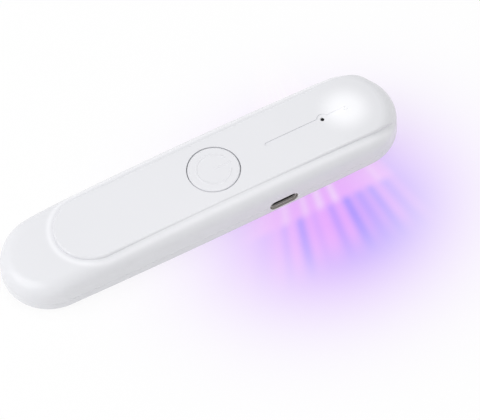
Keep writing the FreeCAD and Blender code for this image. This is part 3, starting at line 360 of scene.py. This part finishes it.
def finishMaterial(name, group, look):
    look = {**plainLook, **look}
    material, tree, shader = startMaterial(name)
    given = {key: value for key, value in look.items() if key in group.interface.items_tree}
    skin = useGroup(tree, group, given)
    feed(tree, shader["Base Color"], skin["Color"])
    feed(tree, shader["Roughness"], skin["Roughness"])
    bump = addNode(tree, "ShaderNodeBump")
    bump.inputs["Strength"].default_value = look["bump"]
    bump.inputs["Distance"].default_value = look["bumpDepth"]
    feed(tree, bump.inputs["Height"], skin["Height"])
    feed(tree, shader["Normal"], bump.outputs["Normal"])
    shader["Metallic"].default_value = look["metallic"]
    shader["IOR"].default_value = look["ior"]
    return material, tree, shader


def tintOver(tree, shader, mask, colour):  # lays a colour over what is there
    under = shader["Base Color"].links[0].from_socket
    feed(tree, shader["Base Color"], mixColour(tree, mask, under, colour))


def dress(material, *names):
    for name in names:
        nodes[name].data.materials.clear()
        nodes[name].data.materials.append(material)


def dressAll(looks, group, grain):
    for name, look in looks.items():
        material, _, _ = finishMaterial(name, group, {**grain, **look})
        dress(material, *look["on"])


# white shells, with the status lamp's glow through the panel painted on as emission
whiteShell = {
    "Color": (0.80, 0.803, 0.835, 1),
    "Shade": (0.785, 0.79, 0.82, 1),
    "Roughness": 0.24,
    "Spread": 0.06,
    "Drift": 55.0,
    "Peel": 1500.0,
    "bump": 0.015,
    "bumpDepth": 0.02 * mm,
    "ior": 1.46,
    "creaseCentre": -35.8 * mm,  # round end of the panel
    "creaseNose": (52.0 * mm, 20.0 * mm),  # where the panel starts to draw in at the head, and on what radius
    "creaseEnds": (57.5 * mm, 61.0 * mm),
    "creaseLines": [  # painted crease shade and highlight: distance from the middle, half width, tone
        (11.75 * mm, 0.5 * mm, (0.76, 0.764, 0.795, 1)),  # painted shade at the foot of the panel
        (12.85 * mm, 0.6 * mm, (0.88, 0.883, 0.915, 1)),  # painted highlight band outside it
    ],
    "haloCentre": (49.7 * mm, 0.0),
    "haloInner": 1.0 * mm,
    "haloOuter": 10.8 * mm,
    "haloStrength": 0.19,
    "portCentre": (20.4 * mm, 4.0 * mm),
    "portHalf": 2.95 * mm,  # from the middle to where the round ends begin
    "portRadius": 1.725 * mm,
    # painted shade on the walls inside the port
    "portTone": (0.42, 0.4, 0.38, 1),
}


def shadePort(tree, shader, look):  # painted shade: warm grey on the walls inside the charging port
    given = {
        "Centre X": look["portCentre"][0],
        "Centre Z": look["portCentre"][1],
        "Half Length": look["portHalf"],
        "Radius": look["portRadius"],
    }
    tintOver(tree, shader, useGroup(tree, portShade, given)["Mask"], look["portTone"])


def paintCreaseShading(tree, shader, look):  # painted shade and highlight lines along the foot of the raised panel
    for radius, half, tone in look["creaseLines"]:
        given = {
            "Centre X": look["creaseCentre"],
            "Radius": radius,
            "Nose X": look["creaseNose"][0],
            "Nose Radius": look["creaseNose"][1],
            "Half Width": half,
            "Fade X": look["creaseEnds"][0],
            "End X": look["creaseEnds"][1],
        }
        tintOver(tree, shader, useGroup(tree, creaseLine, given)["Mask"], tone)


def makeShellMaterials(look):
    upper, tree, shader = finishMaterial("whiteShell", mouldedSkin, look)
    paintCreaseShading(tree, shader, look)
    given = {
        "Centre X": look["haloCentre"][0],
        "Centre Y": look["haloCentre"][1],
        "Inner": look["haloInner"],
        "Outer": look["haloOuter"],
    }
    halo = useGroup(tree, lampHalo, given)
    feed(tree, shader["Emission Color"], mixColour(tree, halo["Mask"], black, white))
    shader["Emission Strength"].default_value = look["haloStrength"]
    shadePort(tree, shader, look)
    lower, tree, shader = finishMaterial("whiteUnderside", mouldedSkin, look)
    shadePort(tree, shader, look)
    dress(upper, "upper_shell")
    dress(lower, "lower_shell")


makeShellMaterials(whiteShell)
print("shells finished")


# power button: turned cap with the power sign raised on its face
powerButton = {
    "centre": 5.05 * mm,
    "radius": 7.93 * mm,
    "top": 12.9 * mm,
    "edgeRound": 0.45 * mm,
    "edgeSteps": 6,
    "flangeRadius": 9.05 * mm,
    "flangeTop": 11.0 * mm,
    "flangeLow": 10.3 * mm,
    "skirtInside": 6.73 * mm,
    "roofLow": 11.6 * mm,
    "postRadius": 2.2 * mm,
    "postLow": 9.18 * mm,
    "segments": 360,
    "ringStep": 0.1 * mm,
    "sharpAngle": math.radians(40),
    "signRadius": 5.22 * mm,
    "signGap": math.radians(27),
    "lineStart": 0.4 * mm,
    "lineEnd": 5.5 * mm,
    "signStroke": 0.5 * mm,
    "signSlope": 0.18 * mm,
    "signRise": 0.1 * mm,
    "Color": (0.80, 0.803, 0.835, 1),
    "Shade": (0.79, 0.793, 0.825, 1),
    "Roughness": 0.26,
    "Spread": 0.05,
    "Drift": 90.0,
    "Peel": 1800.0,
    "bump": 0.03,
    "bumpDepth": 0.02 * mm,
    "ior": 1.46,
}


def signHeight(x, y, look):
    # how far the face is raised here: a broken ring open to the head, and a bar through the opening
    radius = math.hypot(x, y)
    angle = abs(math.atan2(y, x))
    if angle >= look["signGap"]:
        toRing = abs(radius - look["signRadius"])
    else:
        end = Vector((math.cos(look["signGap"]), math.sin(look["signGap"]))) * look["signRadius"]
        toRing = (Vector((x, abs(y))) - end).length
    nearest = min(max(x, look["lineStart"]), look["lineEnd"])
    toBar = math.hypot(x - nearest, y)
    foot = (look["signStroke"] + look["signSlope"]) / 2
    share = min(max((foot - min(toRing, toBar)) / look["signSlope"], 0.0), 1.0)
    return look["signRise"] * share * share * (3 - 2 * share)


def buttonProfile(look):
    # rings from the middle of the face over the edge, round the flange and down the post
    face = look["radius"] - look["edgeRound"]
    step = look["ringStep"]
    rings = [(count * step, look["top"]) for count in range(1, int(face / step))]
    rings.append((face, look["top"]))
    for count in range(1, look["edgeSteps"] + 1):
        turn = math.pi / 2 * count / look["edgeSteps"]
        out, down = look["edgeRound"] * math.sin(turn), look["edgeRound"] * (1 - math.cos(turn))
        rings.append((face + out, look["top"] - down))
    rings += [
        (look["radius"], look["flangeTop"]),
        (look["flangeRadius"], look["flangeTop"]),
        (look["flangeRadius"], look["flangeLow"]),
        (look["skirtInside"], look["flangeLow"]),
        (look["skirtInside"], look["roofLow"]),
        (look["postRadius"], look["roofLow"]),
        (look["postRadius"], look["postLow"]),
    ]
    return rings, face


def buttonMesh(look):
    rings, face = buttonProfile(look)
    count = look["segments"]
    work = bmesh.new()
    middle = work.verts.new((look["centre"], 0, look["top"] + signHeight(0.0, 0.0, look)))
    foot = work.verts.new((look["centre"], 0, look["postLow"]))
    loops = []
    for radius, height in rings:
        loop = []
        for step in range(count):
            turn = 2 * math.pi * step / count
            x, y = radius * math.cos(turn), radius * math.sin(turn)
            rise = signHeight(x, y, look) if radius < face and height == look["top"] else 0.0
            loop.append(work.verts.new((look["centre"] + x, y, height + rise)))
        loops.append(loop)
    for step in range(count):
        after = (step + 1) % count
        work.faces.new((middle, loops[0][step], loops[0][after]))
        for inner, outer in zip(loops, loops[1:]):
            work.faces.new((inner[step], outer[step], outer[after], inner[after]))
        work.faces.new((foot, loops[-1][after], loops[-1][step]))
    for polygon in work.faces:
        polygon.smooth = True
    mesh = bpy.data.meshes.new("powerButtonCap")
    work.to_mesh(mesh)
    work.free()
    mesh.set_sharp_from_angle(angle=look["sharpAngle"])
    return mesh


def makeButton(look):
    mesh = buttonMesh(look)
    cap = bpy.data.objects.new("powerButtonCap", mesh)
    bpy.context.scene.collection.objects.link(cap)
    material, _, _ = finishMaterial("whiteButton", mouldedSkin, look)
    mesh.materials.append(material)
    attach(cap, "button")
    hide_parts("power_button")
    dress(material, "power_button")


makeButton(powerButton)
print("button made")


# metal pieces
metalGrain = {
    "Spread": 0.15,
    "Across": 9000.0,
    "Along": 500.0,
    "bump": 0.12,
    "bumpDepth": 0.02 * mm,
    "metallic": 1.0,
}
metalLooks = {
    "stampedSteel": {
        "Color": (0.62, 0.62, 0.6, 1),
        "Shade": (0.42, 0.42, 0.41, 1),
        "Roughness": 0.32,
        "on": ("switch_cover", "switch_dome"),
    },
    "goldPlate": {
        "Color": (0.83, 0.62, 0.26, 1),
        "Shade": (0.6, 0.42, 0.16, 1),
        "Roughness": 0.24,
        "on": ("usb_contacts", "header_pins"),
    },
    "foilPouch": {
        "Color": (0.72, 0.73, 0.75, 1),
        "Shade": (0.5, 0.51, 0.53, 1),
        "Roughness": 0.38,
        "on": ("battery_cell",),
    },
    "brightTray": {
        "Color": (0.9, 0.9, 0.92, 1),
        "Shade": (0.8, 0.8, 0.83, 1),
        "Roughness": 0.1,
        "on": ("reflector",),
    },
    "platedScrew": {
        "Color": (0.6, 0.6, 0.61, 1),
        "Shade": (0.4, 0.4, 0.41, 1),
        "Roughness": 0.28,
        "on": ("case_screws", "board_screws"),
    },
}
dressAll(metalLooks, rolledMetal, metalGrain)


# charging receptacle: satin at the mouth, with shade painted darker further in
receptacle = {
    "Color": (0.7, 0.675, 0.65, 1),
    "Shade": (0.56, 0.54, 0.52, 1),
    "Roughness": 0.5,
    # painted shade deep inside the receptacle
    "inside": (0.012, 0.012, 0.012, 1),
    "darkFrom": -14.0 * mm,
    "darkBy": -13.6 * mm,
    "metallic": 0.3,
}


def makeReceptacle(look):
    material, tree, shader = finishMaterial("portSteel", rolledMetal, {**metalGrain, **look})
    paintedDepthShade = fade(tree, axesOf(tree)["Y"], look["darkFrom"], look["darkBy"])
    tintOver(tree, shader, paintedDepthShade, look["inside"])
    dress(material, "usb_shell")


makeReceptacle(receptacle)


def makeSnapDome():
    node = nodes["switch_dome"]
    dome = bpy.data.objects.new("snapDome", node.data.copy())
    dome.matrix_world = node.matrix_world
    bpy.context.scene.collection.objects.link(dome)
    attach(dome, "wand")
    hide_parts("switch_dome")
    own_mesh(dome)


makeSnapDome()
print("metal finished")


# moulded, ceramic and foam pieces
softGrain = {"Spread": 0.12, "Drift": 400.0, "bump": 0.15, "bumpDepth": 0.04 * mm}
softLooks = {
    "blackSwitch": {
        "Color": (0.045, 0.045, 0.05, 1),
        "Shade": (0.07, 0.07, 0.075, 1),
        "Roughness": 0.45,
        "Peel": 3000.0,
        "on": ("switch_base", "switch_plunger"),
    },
    "blackTongue": {
        "Color": (0.018, 0.018, 0.02, 1),
        "Shade": (0.035, 0.035, 0.038, 1),
        "Roughness": 0.4,
        "Peel": 4000.0,
        "on": ("usb_tongue", "header_block"),
    },
    "chipPackage": {
        "Color": (0.03, 0.03, 0.034, 1),
        "Shade": (0.06, 0.06, 0.066, 1),
        "Roughness": 0.55,
        "Peel": 6000.0,
        "on": ("control_chip", "charge_chip"),
    },
    "bakedCeramic": {
        "Color": (0.83, 0.8, 0.73, 1),
        "Shade": (0.72, 0.69, 0.62, 1),
        "Roughness": 0.4,
        "Peel": 5000.0,
        "on": ("uv_led_bases",),
    },
    "brownCeramic": {
        "Color": (0.47, 0.34, 0.22, 1),
        "Shade": (0.36, 0.25, 0.15, 1),
        "Roughness": 0.4,
        "Peel": 5000.0,
        "on": ("board_capacitors",),
    },
    "lampResin": {
        "Color": (0.92, 0.9, 0.76, 1),
        "Shade": (0.85, 0.8, 0.55, 1),
        "Roughness": 0.2,
        "Peel": 3000.0,
        "on": ("status_led", "charge_led"),
    },
    "smokedRod": {
        "Color": (0.008, 0.008, 0.009, 1),
        "Shade": (0.014, 0.014, 0.016, 1),
        "Roughness": 0.14,
        "Peel": 2500.0,
        "ior": 1.12,
        "on": ("charge_pipe",),
    },
    "greyFoam": {
        "Color": (0.1, 0.1, 0.11, 1),
        "Shade": (0.16, 0.16, 0.17, 1),
        "Roughness": 0.85,
        "Peel": 2500.0,
        "bump": 0.6,
        "on": ("battery_pad", "pressure_pads", "window_seal"),
    },
}
dressAll(softLooks, mouldedSkin, softGrain)
print("moulded pieces finished")


# boards
boardGrain = {"bump": 0.2, "bumpDepth": 0.03 * mm}
boardLooks = {
    "greenBoard": {
        "Color": (0.02, 0.13, 0.06, 1),
        "Track": (0.05, 0.26, 0.12, 1),
        "Roughness": 0.3,
        "Width": 260.0,
        "on": ("main_board", "battery_guard_board"),
    },
    "whiteBoard": {
        "Color": (0.78, 0.78, 0.77, 1),
        "Track": (0.62, 0.62, 0.6, 1),
        "Roughness": 0.35,
        "Width": 180.0,
        "on": ("led_board",),
    },
}
dressAll(boardLooks, boardFace, boardGrain)


# battery wires: red on one side of the middle, black on the other
wireLook = {
    "red": {"Color": (0.5, 0.02, 0.02, 1), "Shade": (0.38, 0.014, 0.014, 1)},
    "black": {"Color": (0.02, 0.02, 0.022, 1), "Shade": (0.036, 0.036, 0.038, 1)},
    "skin": {"Roughness": 0.4, "Peel": 2500.0, "bump": 0.15, "bumpDepth": 0.03 * mm},
}


def makeWires(look):
    material, tree, shader = finishMaterial("wireSkin", mouldedSkin, {**look["skin"], **look["red"]})
    otherSide = calc(tree, "LESS_THAN", axesOf(tree)["Y"], 0.0)
    tintOver(tree, shader, otherSide, useGroup(tree, mouldedSkin, look["black"])["Color"])
    dress(material, "battery_leads")


makeWires(wireLook)
print("boards and wires finished")


# clear and lit pieces
clearGrain = {"ior": 1.47, "hazeSpread": 0.06, "dimShare": 0.8}
clearLooks = {
    "statusRod": {
        "colour": (0.97, 0.98, 1.0, 1),
        "glow": (1.0, 1.0, 1.0, 1),
        "strength": 0.12,
        "roughness": 0.12,
        "clear": 0.3,
        "Peel": 2500.0,
        "rim": (0.78, 0.78, 0.8, 1),
        "centre": 49.7 * mm,
        "core": 0.3 * mm,
        "edge": 0.55 * mm,
        "on": "light_pipe",
    },
    "violetLens": {
        "colour": (0.55, 0.3, 0.9, 1),
        "glow": (0.42, 0.12, 1.0, 1),
        "strength": 2.2,
        "roughness": 0.1,
        "clear": 0.2,
        "Peel": 3000.0,
        "on": "uv_led_lenses",
    },
    "clearWindow": {
        "colour": (0.95, 0.95, 0.98, 1),
        "roughness": 0.04,
        "clear": 1.0,
        "Peel": 600.0,
        "on": "uv_window",
    },
}


def makeClear(name, look):
    material, tree, shader = startMaterial(name)
    haze = noiseOf(tree, placeOf(tree), look["Peel"])
    shader["Base Color"].default_value = look["colour"]
    satin = calc(tree, "MULTIPLY", haze, look["hazeSpread"])
    feed(tree, shader["Roughness"], calc(tree, "ADD", look["roughness"], satin))
    shader["Transmission Weight"].default_value = look["clear"]
    shader["IOR"].default_value = look["ior"]
    if "glow" in look:
        dim = tuple(channel * look["dimShare"] for channel in look["glow"][:3]) + (1,)
        glow = mixColour(tree, haze, dim, look["glow"])
        if "rim" in look:  # dimmer where the rod meets its hole
            given = {"Centre X": look["centre"], "Inner": look["core"], "Outer": look["edge"]}
            glow = mixColour(tree, useGroup(tree, lampHalo, given)["Mask"], look["rim"], glow)
        feed(tree, shader["Emission Color"], glow)
        shader["Emission Strength"].default_value = look["strength"]
    dress(material, look["on"])


for name, look in clearLooks.items():
    makeClear(name, {**clearGrain, **look})
print("clear and lit pieces finished")


# pale floor, with the violet light of the lamps under the head painted on it
floorLook = {
    "half": 3.0,
    "drop": 0.2 * mm,  # kept just clear of the flat underside
    "contact": 1.5 * mm,  # light reaches the underside through the floor this close to it
    "Color": (0.96, 0.96, 0.96, 1),
    "Roughness": 0.9,
    "cameraShare": 0.88,  # how much of what is seen is the glow, the rest being lit and shaded
    "pool": (31.5 * mm, -24.0 * mm),  # middle of the glow, then its half widths at half strength
    "poolHalf": (30.0 * mm, 26.0 * mm),
    "heart": (42.0 * mm, -30.0 * mm),  # where it is deepest
    "heartHalf": (17.0 * mm, 15.0 * mm),
    "fan": (43.0 * mm, 45.0 * mm),  # the rays spread from here
    "fanSides": (-34.0, -24.0, 7.0, 12.0),  # degrees between which they fade in and out
    "violetRays": [  # degrees from straight out, half width in degrees, depth
        (-27.0, 3.0, 0.4),
        (-21.5, 1.0, 0.4),
        (-17.3, 1.1, 0.85),
        (-13.6, 1.0, 0.25),
        (-8.8, 1.1, 0.6),
        (-4.3, 1.2, 1.0),
        (-0.6, 1.6, 0.8),
        (2.9, 1.2, 0.85),
        (7.2, 1.6, 0.75),
    ],
    "paleRays": [
        (-20.7, 1.1, 0.6),
        (-15.4, 1.0, 0.7),
        (-11.2, 1.1, 1.0),
        (-6.8, 1.0, 1.0),
        (6.2, 1.0, 0.4),
    ],
    "paleLift": 0.32,
    "rayEnds": (-45.0 * mm, -29.0 * mm),
    "edgeEnds": (-22.5 * mm, -18.0 * mm),  # pink up to the wand from here
    "lavender": (0.64, 0.3, 1.0, 1),
    "violet": (0.39, 0.235, 1.0, 1),
    "pink": (0.8, 0.36, 1.0, 1),
}


def softSpot(tree, x, y, centre, half):  # 1 in the middle, a half at the half widths
    across = calc(tree, "DIVIDE", calc(tree, "SUBTRACT", x, centre[0]), half[0])
    along = calc(tree, "DIVIDE", calc(tree, "SUBTRACT", y, centre[1]), half[1])
    return halving(tree, squareSum(tree, across, along))


def sumRays(tree, turn, rays):  # each ray is deepest along its middle, half as deep at its half width
    total = 0.0
    for angle, half, depth in rays:
        aside = calc(tree, "SUBTRACT", turn, math.radians(angle))
        share = calc(tree, "DIVIDE", aside, math.radians(half))
        ray = halving(tree, calc(tree, "MULTIPLY", share, share))
        total = calc(tree, "ADD", total, calc(tree, "MULTIPLY", ray, depth), clamp=True)
    return total


# painted pool and rays of violet lamp light on the floor
def paintedLampGlow(tree, look):
    axes = axesOf(tree)
    x, y = axes["X"], axes["Y"]
    pool = softSpot(tree, x, y, look["pool"], look["poolHalf"])
    heart = softSpot(tree, x, y, look["heart"], look["heartHalf"])
    # rays spread from a point behind the head
    fanX, fanY = look["fan"]
    turn = calc(tree, "ARCTAN2", calc(tree, "SUBTRACT", x, fanX), calc(tree, "SUBTRACT", fanY, y))
    tailOut, tailIn, headIn, headOut = (math.radians(side) for side in look["fanSides"])
    tailSide, headSide = fade(tree, turn, tailOut, tailIn), fade(tree, turn, headOut, headIn)
    within = calc(tree, "MULTIPLY", tailSide, headSide)
    near = calc(tree, "MULTIPLY", within, fade(tree, y, *look["edgeEnds"]))
    streak = calc(tree, "MULTIPLY", within, fade(tree, y, *look["rayEnds"]))
    tint = mixColour(tree, heart, look["lavender"], look["violet"])
    rays = mixColour(tree, sumRays(tree, turn, look["violetRays"]), look["pink"], look["violet"])
    tint = mixColour(tree, streak, tint, rays)
    tint = mixColour(tree, near, tint, look["pink"])
    pale = calc(tree, "MULTIPLY", near, sumRays(tree, turn, look["paleRays"]))
    lift = calc(tree, "MULTIPLY", pale, look["paleLift"])
    depth = calc(tree, "MULTIPLY", pool, calc(tree, "SUBTRACT", 1.0, lift))
    return mixColour(tree, depth, white, tint)


def makeFloor(look):
    half, low = look["half"], -look["drop"]
    corners = [(-half, -half, low), (half, -half, low), (half, half, low), (-half, half, low)]
    mesh = bpy.data.meshes.new("floor")
    mesh.from_pydata(corners, [], [(0, 1, 2, 3)])
    floor = bpy.data.objects.new("floor", mesh)
    bpy.context.scene.collection.objects.link(floor)
    material, tree, shader = startMaterial("paleFloor")
    shader["Base Color"].default_value = look["Color"]
    shader["Roughness"].default_value = look["Roughness"]
    light = addNode(tree, "ShaderNodeEmission")
    feed(tree, light.inputs["Color"], paintedLampGlow(tree, look))
    path = addNode(tree, "ShaderNodeLightPath").outputs
    share = calc(tree, "MULTIPLY", seenBy(tree, path), look["cameraShare"])
    body = tree.nodes["Principled BSDF"].outputs["BSDF"]
    paper = mixShaders(tree, share, body, light.outputs["Emission"])
    # seen through from below, so that the underside shows
    below = addNode(tree, "ShaderNodeNewGeometry").outputs["Backfacing"]
    short = calc(tree, "LESS_THAN", path["Ray Length"], look["contact"])
    close = calc(tree, "MULTIPLY", path["Is Diffuse Ray"], short)
    gap = addNode(tree, "ShaderNodeBsdfTransparent").outputs["BSDF"]
    surface = mixShaders(tree, calc(tree, "MAXIMUM", below, close), paper, gap)
    tree.links.new(surface, tree.nodes["Material Output"].inputs["Surface"])
    mesh.materials.append(material)


makeFloor(floorLook)


# soft studio light
studioLook = {
    "world": 0.62,  # light from all round
    "backdrop": 1.0,  # what is seen past the floor
    "lamps": {
        "softKey": {"energy": 7.1, "size": (1.0, 1.0), "at": (-1.0, 0.2, 0.9)},
        "overhead": {"energy": 3.35, "size": (1.4, 0.35), "at": (0.3, 0.03, 1.26)},
    },
}


def addBackground(tree, strength):
    sky = addNode(tree, "ShaderNodeBackground")
    sky.inputs["Color"].default_value = white
    sky.inputs["Strength"].default_value = strength
    return sky.outputs["Background"]


def makeLight(look):
    scene = bpy.context.scene
    world = bpy.data.worlds.new("studio")
    world.use_nodes = True
    tree = world.node_tree
    tree.nodes.clear()
    sky, backdrop = addBackground(tree, look["world"]), addBackground(tree, look["backdrop"])
    seen = seenBy(tree, addNode(tree, "ShaderNodeLightPath").outputs)
    output = addNode(tree, "ShaderNodeOutputWorld")
    tree.links.new(mixShaders(tree, seen, sky, backdrop), output.inputs["Surface"])
    scene.world = world
    for name, lamp in look["lamps"].items():
        data = bpy.data.lights.new(name, "AREA")
        data.shape = "RECTANGLE"
        data.size, data.size_y = lamp["size"]
        data.energy = lamp["energy"]
        piece = bpy.data.objects.new(name, data)
        piece.location = lamp["at"]
        piece.rotation_euler = (-piece.location).to_track_quat("-Z", "Y").to_euler()
        scene.collection.objects.link(piece)
    scene.view_settings.view_transform = "Standard"


makeLight(studioLook)
print("stage lit")
